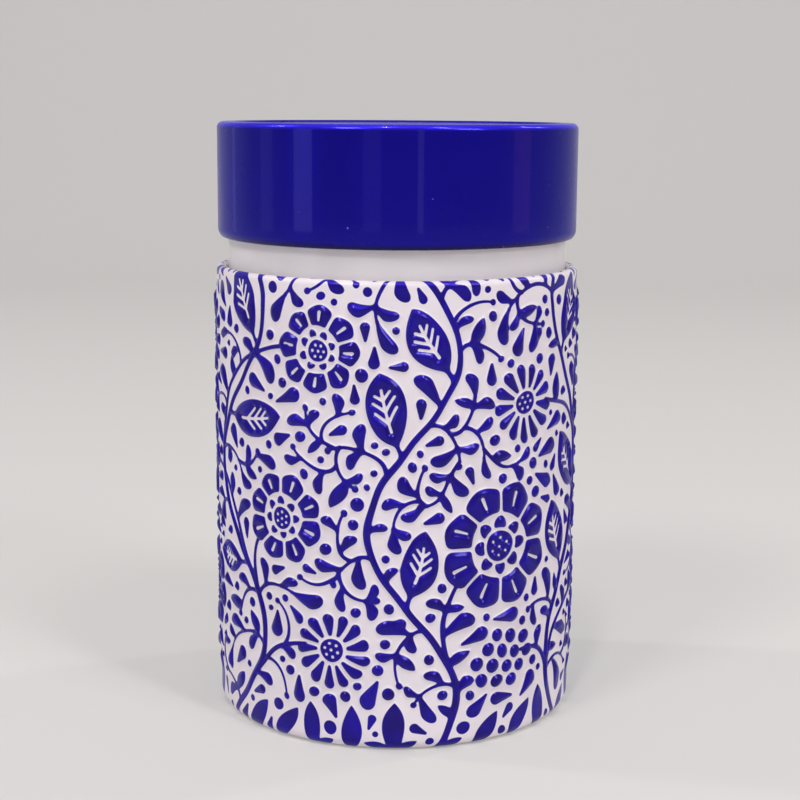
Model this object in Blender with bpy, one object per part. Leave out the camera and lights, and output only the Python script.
"""Round tea tin of pressed tinplate: a rolled and embossed wall, a base held by the turned-under foot,
a lacquered neck collar clamped under the wall's top curl, a slip lid, and a friction inner lid with a knob.

Metres, +Z up. The origin is the middle of the ring that the tin stands on. The front is -Y, the wall's
lock seam is at +Y. Every sheet piece is drawn as one line of runs and bends, turned about the axis."""

from math import acos, cos, pi, radians, sin

import bmesh
import bpy

# Sheet and fits
SHEET = 0.0004  # tinplate, with its print and lacquer
GAP = 0.0003  # between neighbouring pieces
WELD = 0.000001  # points closer than this are one

# Wall
WALL_RADIUS = 0.0427  # outside, on the ground between the raised motifs
WALL_HEIGHT = 0.1057  # standing plane to the crest of the top curl
TOP_CURL = 0.0025  # diameter of the inward curl
FOOT_RADIUS = 0.0025  # outside of the rounded lower edge
FOOT_LAND = 0.0008  # flat ring that the tin stands on
FOOT_RETURN = 0.0006  # bend from the land up into the foot's inner leg
FOOT_LEG = 0.0022  # height of that leg, which carries the base
SEAM_WIDTH = 0.0040  # folded lock seam, inside
SEAM_DEPTH = 0.0008
SEAM_LINE_WIDTH = 0.0005  # the line that the seam leaves outside
SEAM_LINE_DEPTH = 0.0002

# Base
BASE_FLANGE = 0.0060  # flange that stands up against the wall's inside
BASE_CORNER = 0.0012
BASE_RIM = 0.0032  # flat seat between the corner and the first step
BASE_STEP = 0.0008  # the panel is pressed up, clear of the ground
BASE_RING_STEP = 0.0005  # second step, nearer the middle
BASE_RING_SHARE = 0.62  # where the second step starts, as a share of the panel's radius

# Neck collar
NECK_SHOWING = 0.0065  # plain ring between the wall and the lid
NECK_SKIRT = 0.0140  # length inside the wall, below its curl
NECK_BEND = 0.0008
NECK_RIM = 0.0020  # diameter of the rim's inward curl

# Slip lid
LID_SET_BACK = 0.0004  # its side stands in from the wall's
LID_HEIGHT = 0.0266
LID_CORNER = 0.0014
LID_BORDER = 0.0030
LID_RECESS = 0.0005  # panel below the border
HEM_LEG = 0.0008  # the hem's end, turned up inside
HEM_EASE_ANGLE = radians(40)
HEM_EASE_SHARE = 1.40  # hem bends as shares of the room between the lid's side and the neck
HEM_END_SHARE = 0.30

# Inner lid
PLUG_DEPTH = 0.0090  # flange to panel
PLUG_CORNER = 0.0012
PLUG_FLANGE_BEND = 0.0008
PLUG_FLANGE_SET_BACK = 0.0006  # the flange's edge stands in from the neck's side
PLUG_RING_STEP = 0.0008
PLUG_RING_SHARE = 0.80  # where the step starts, as a share of the panel's radius

# Knob and rivet
KNOB_RADIUS = 0.0060
KNOB_HEIGHT = 0.0062
KNOB_EDGE = 0.0024  # thickness of the grip
KNOB_FOOT = 0.0036
KNOB_HOLLOW = 0.0010  # round of the waist, under the grip and over the foot
RIVET_RADIUS = 0.0010
RIVET_GRIP = 0.0030  # shank inside the knob
RIVET_HEAD_RADIUS = 0.0022
RIVET_HEAD_HEIGHT = 0.0007

# Steps pressed in a panel
STEP_ANGLE = radians(45)
STEP_BEND_SHARE = 0.40  # their bends' radius inside, as a share of the step

# Facets
SIDES = 40  # round the tin
KNOB_SIDES = 20
FACET_ERROR = 0.00006  # how far a bend's facets may cut inside it
SMOOTH_BELOW = radians(50)

# Places worked out from the sizes
half_sheet = SHEET / 2
wall_inside = WALL_RADIUS - SHEET
curl_bottom = WALL_HEIGHT - TOP_CURL
base_seat = FOOT_LEG + GAP
inner_fit_radius = wall_inside - GAP - half_sheet
neck_radius = WALL_RADIUS - TOP_CURL - GAP
mouth_radius = neck_radius - NECK_RIM
lid_radius = WALL_RADIUS - LID_SET_BACK
lid_bottom = WALL_HEIGHT + NECK_SHOWING
lid_top = lid_bottom + LID_HEIGHT
lid_underside = lid_top - LID_RECESS - SHEET
flange_top = lid_underside - GAP
neck_top = flange_top - SHEET - GAP
panel_middle = flange_top - half_sheet - PLUG_DEPTH


def linear(code):
    """The linear colour of a six-digit sRGB code."""
    levels = [int(code[at : at + 2], 16) / 255 for at in (0, 2, 4)]
    return [v / 12.92 if v <= 0.04045 else ((v + 0.055) / 1.055) ** 2.4 for v in levels] + [1]


def finish(name, code, roughness, metallic=0.0):
    """A Principled material."""
    material = bpy.data.materials.new(name)
    material.use_nodes = True
    shader = material.node_tree.nodes["Principled BSDF"]
    shader.inputs["Base Color"].default_value = linear(code)
    shader.inputs["Roughness"].default_value = roughness
    shader.inputs["Metallic"].default_value = metallic
    return material


def facet_angle(radius):
    """The angle between a bend's points at which its facets cut in by the facet error."""
    return 2 * acos(1 - FACET_ERROR / max(radius, FACET_ERROR))


def step_bend(rise):
    """Radius of a pressed step's two bends, at the middle of the sheet."""
    return half_sheet + STEP_BEND_SHARE * rise


def step_slope(rise):
    """Length of the straight slope between those bends."""
    return (rise - 2 * step_bend(rise) * (1 - cos(STEP_ANGLE))) / sin(STEP_ANGLE)


def step_reach(rise):
    """How far a pressed step reaches along its panel."""
    return 2 * step_bend(rise) * sin(STEP_ANGLE) + step_slope(rise) * cos(STEP_ANGLE)


class SheetLine:
    """The middle line of a bent sheet, in the half plane of radius and height.

    It is drawn as a press or a roller makes it: straight runs, and bends of a radius through an angle,
    positive to the left. The section is that line with half the sheet on either side."""

    def __init__(self, radius, height, heading):
        self.radius, self.height, self.heading = radius, height, heading
        self.points = [(radius, height, heading)]

    def to(self, radius, height):
        self.radius, self.height = radius, height
        self.points.append((radius, height, self.heading))
        return self

    def run(self, length):
        radius = self.radius + length * cos(self.heading)
        return self.to(radius, self.height + length * sin(self.heading))

    def run_to_radius(self, radius):
        return self.run((radius - self.radius) / cos(self.heading))

    def run_to_height(self, height):
        return self.run((height - self.height) / sin(self.heading))

    def bend(self, radius, angle):
        side = radius if angle > 0 else -radius
        start = self.heading
        middle = self.radius - side * sin(start), self.height + side * cos(start)
        count = max(1, round(abs(angle) / facet_angle(radius)))
        for step in range(1, count + 1):
            self.heading = start + angle * step / count
            self.to(middle[0] + side * sin(self.heading), middle[1] - side * cos(self.heading))
        return self

    def step_up(self, rise):
        self.bend(step_bend(rise), STEP_ANGLE).run(step_slope(rise))
        return self.bend(step_bend(rise), -STEP_ANGLE)

    def step_down(self, rise):
        self.bend(step_bend(rise), -STEP_ANGLE).run(step_slope(rise))
        return self.bend(step_bend(rise), STEP_ANGLE)

    def section(self):
        left = [(r - half_sheet * sin(a), z + half_sheet * cos(a)) for r, z, a in self.points]
        right = [(r + half_sheet * sin(a), z - half_sheet * cos(a)) for r, z, a in self.points]
        return left + right[::-1]


def spun(outline, sides, angle=2 * pi, start=0.0):
    """A solid made by turning an outline of (radius, height) points about Z.

    An outline whose two ends lie on the axis closes there. Less than a full turn gets end faces."""
    shape = bmesh.new()
    points = [shape.verts.new((r * cos(start), r * sin(start), z)) for r, z in outline]
    pairs = list(zip(points, points[1:]))
    if max(abs(outline[0][0]), abs(outline[-1][0])) > WELD:
        pairs.append((points[-1], points[0]))
    lines = [shape.edges.new(pair) for pair in pairs]
    bmesh.ops.spin(shape, geom=points + lines, axis=(0, 0, 1), angle=angle, steps=sides)
    bmesh.ops.remove_doubles(shape, verts=shape.verts, dist=WELD)
    ends = [edge for edge in shape.edges if edge.is_boundary]
    if ends:
        bmesh.ops.holes_fill(shape, edges=ends)
    bmesh.ops.recalc_face_normals(shape, faces=shape.faces)
    return shape


def sector(inner, outer, low, high, width, sides):
    """A block that follows the wall's curve, centred on the seam at +Y and as wide as given."""
    turn = width / outer
    outline = [(inner, low), (outer, low), (outer, high), (inner, high)]
    return spun(outline, sides, turn, pi / 2 - turn / 2)


def arc(middle, radius, start, end):
    """Points of a round stretch of an outline."""
    count = max(2, round(abs(end - start) / facet_angle(radius)))
    angles = [start + (end - start) * step / count for step in range(count + 1)]
    return [(middle[0] + radius * cos(a), middle[1] + radius * sin(a)) for a in angles]


class Seat:
    """An empty on the tin's axis, at the height where what it carries sits at rest."""

    def __init__(self, name, height, below=None):
        self.height = height
        self.empty = bpy.data.objects.new(name, None)
        self.empty.location = (0, 0, height - (below.height if below else 0))
        self.empty.parent = below.empty if below else None
        bpy.context.scene.collection.objects.link(self.empty)


def piece(name, shape, seat, material=None):
    """An object from a solid drawn at its place, shaded smooth over its bends and carried by a seat."""
    bmesh.ops.translate(shape, verts=shape.verts, vec=(0, 0, -seat.height))
    mesh = bpy.data.meshes.new(name)
    shape.to_mesh(mesh)
    shape.free()
    mesh.shade_smooth()
    mesh.set_sharp_from_angle(angle=SMOOTH_BELOW)
    if material:
        mesh.materials.append(material)
    thing = bpy.data.objects.new(name, mesh)
    thing.parent = seat.empty
    bpy.context.scene.collection.objects.link(thing)
    return thing


def combine(target, name, shape, seat, operation):
    """Adds or cuts a guide solid, which stays hidden."""
    tool = piece(name, shape, seat)
    tool.hide_render = True
    tool.display_type = "WIRE"
    change = target.modifiers.new(name, "BOOLEAN")
    change.operation = operation
    change.solver = "EXACT"
    change.object = tool


def make_wall(seat, material):
    """From the foot's inner leg, round the foot, up the wall and into the top curl, with its seam."""
    leg = WALL_RADIUS - FOOT_RADIUS - FOOT_LAND - FOOT_RETURN
    line = SheetLine(leg, FOOT_LEG, -pi / 2).run_to_height(half_sheet + FOOT_RETURN)
    line.bend(FOOT_RETURN, pi / 2).run(FOOT_LAND).bend(FOOT_RADIUS - half_sheet, pi / 2)
    line.run_to_height(WALL_HEIGHT - TOP_CURL / 2)
    line.bend(TOP_CURL / 2 - half_sheet, 3 * pi / 2)
    wall = piece("body_wall", spun(line.section(), SIDES), seat, material)

    low, high = base_seat + BASE_FLANGE + GAP, curl_bottom - NECK_SKIRT - GAP
    fold = sector(wall_inside - SEAM_DEPTH, wall_inside + half_sheet, low, high, SEAM_WIDTH, 2)
    combine(wall, "seam_fold", fold, seat, "UNION")
    low, high = FOOT_RADIUS, WALL_HEIGHT - TOP_CURL / 2
    inner, outer = WALL_RADIUS - SEAM_LINE_DEPTH, WALL_RADIUS + SEAM_LINE_DEPTH
    groove = sector(inner, outer, low, high, SEAM_LINE_WIDTH, 1)
    combine(wall, "seam_line", groove, seat, "DIFFERENCE")


def make_base(seat, material):
    """A panel pressed up in two steps, a flat rim over the foot's leg, and a flange against the wall."""
    corner = inner_fit_radius - BASE_CORNER
    panel = corner - BASE_RIM
    line = SheetLine(0, base_seat + half_sheet + BASE_STEP + BASE_RING_STEP, 0)
    line.run(panel * BASE_RING_SHARE).step_down(BASE_RING_STEP)
    line.run_to_radius(panel - step_reach(BASE_STEP)).step_down(BASE_STEP).run_to_radius(corner)
    line.bend(BASE_CORNER, pi / 2).run_to_height(base_seat + BASE_FLANGE)
    piece("base_end", spun(line.section(), SIDES), seat, material)


def make_neck(seat, material):
    """From the skirt inside the wall, in under the wall's curl, and up to the curled rim."""
    shelf = curl_bottom - GAP - half_sheet
    line = SheetLine(inner_fit_radius, curl_bottom - NECK_SKIRT, pi / 2)
    line.run_to_height(shelf - NECK_BEND).bend(NECK_BEND, pi / 2)
    line.run_to_radius(neck_radius - half_sheet + NECK_BEND).bend(NECK_BEND, -pi / 2)
    line.run_to_height(neck_top - NECK_RIM / 2).bend(NECK_RIM / 2 - half_sheet, 3 * pi / 2)
    piece("neck_collar", spun(line.section(), SIDES), seat, material)


def make_lid(seat, material):
    """A recessed panel, a border, a rounded corner, the side, and a hem that eases in to the neck."""
    side = lid_radius - half_sheet
    room = side - (neck_radius + GAP + half_sheet)
    ease, end = HEM_EASE_SHARE * room, HEM_END_SHARE * room
    turn = (room - ease * (1 - cos(HEM_EASE_ANGLE)) - end) / cos(HEM_EASE_ANGLE)
    drop = ease * sin(HEM_EASE_ANGLE) + turn * (1 - sin(HEM_EASE_ANGLE))
    border = lid_radius - LID_CORNER
    line = SheetLine(0, lid_underside + half_sheet, 0)
    line.run(border - LID_BORDER).step_up(LID_RECESS).run_to_radius(border)
    line.bend(LID_CORNER - half_sheet, -pi / 2).run_to_height(lid_bottom + half_sheet + drop)
    line.bend(ease, -HEM_EASE_ANGLE).bend(turn, HEM_EASE_ANGLE - pi / 2)
    line.bend(end, -pi / 2).run(HEM_LEG)
    piece("lid_shell", spun(line.section(), SIDES), seat, material)


def make_inner_lid(seat, material):
    """A cup that fits the curled mouth, with a flange over the rim and a step pressed in its panel."""
    side = mouth_radius - GAP - half_sheet
    panel = side - PLUG_CORNER
    line = SheetLine(RIVET_RADIUS + GAP, panel_middle, 0)
    line.run_to_radius(panel * PLUG_RING_SHARE).step_up(PLUG_RING_STEP).run_to_radius(panel)
    line.bend(PLUG_CORNER, pi / 2).run_to_height(flange_top - half_sheet - PLUG_FLANGE_BEND)
    line.bend(PLUG_FLANGE_BEND, -pi / 2).run_to_radius(neck_radius - PLUG_FLANGE_SET_BACK)
    piece("inner_lid", spun(line.section(), SIDES), seat, material)


def make_knob(seat, material):
    """Turned: a flat foot on the panel, a hollowed waist and a rounded grip, bored for the rivet."""
    foot = panel_middle + half_sheet + GAP
    top = foot + KNOB_HEIGHT
    bore = RIVET_RADIUS + GAP
    depth = foot + RIVET_GRIP + GAP
    grip = top - KNOB_EDGE
    edge = KNOB_EDGE / 2
    outline = [(0, depth), (bore, depth), (bore, foot)]
    outline += arc((KNOB_FOOT, foot + KNOB_HOLLOW), KNOB_HOLLOW, -pi / 2, -pi)
    outline += arc((KNOB_FOOT, grip - KNOB_HOLLOW), KNOB_HOLLOW, pi, pi / 2)
    outline += arc((KNOB_RADIUS - edge, top - edge), edge, -pi / 2, pi / 2)
    outline += [(0, top)]
    piece("inner_lid_knob", spun(outline, KNOB_SIDES), seat, material)


def make_rivet(seat, material):
    """A rounded head under the panel, and a shank up through the panel into the knob."""
    under = panel_middle - half_sheet - GAP
    top = panel_middle + half_sheet + GAP + RIVET_GRIP
    soft = RIVET_HEAD_HEIGHT / 2
    outline = [(0, under - RIVET_HEAD_HEIGHT)]
    outline += arc((RIVET_HEAD_RADIUS - soft, under - soft), soft, -pi / 2, 0)
    outline += [(RIVET_HEAD_RADIUS, under), (RIVET_RADIUS, under), (RIVET_RADIUS, top), (0, top)]
    piece("knob_rivet", spun(outline, KNOB_SIDES), seat, material)


def main():
    for thing in list(bpy.data.objects):
        bpy.data.objects.remove(thing)
    ground = Seat("standing_plane", 0)
    rim = Seat("neck_rim", neck_top, ground)
    flange = Seat("inner_lid_flange", flange_top, rim)

    make_wall(ground, finish("printed tinplate", "ded7d1", 0.30))
    make_base(ground, finish("lacquered tinplate", "c9c6bf", 0.35, 0.8))
    make_neck(ground, finish("off-white lacquer", "d5d0ca", 0.25))
    make_inner_lid(rim, finish("bare tinplate", "bdbcb8", 0.28, 1.0))
    make_knob(rim, finish("turned steel", "b5b3ae", 0.22, 1.0))
    make_rivet(rim, finish("rivet steel", "a9a7a2", 0.30, 1.0))
    make_lid(flange, finish("cobalt lacquer", "1a1280", 0.12))


main()
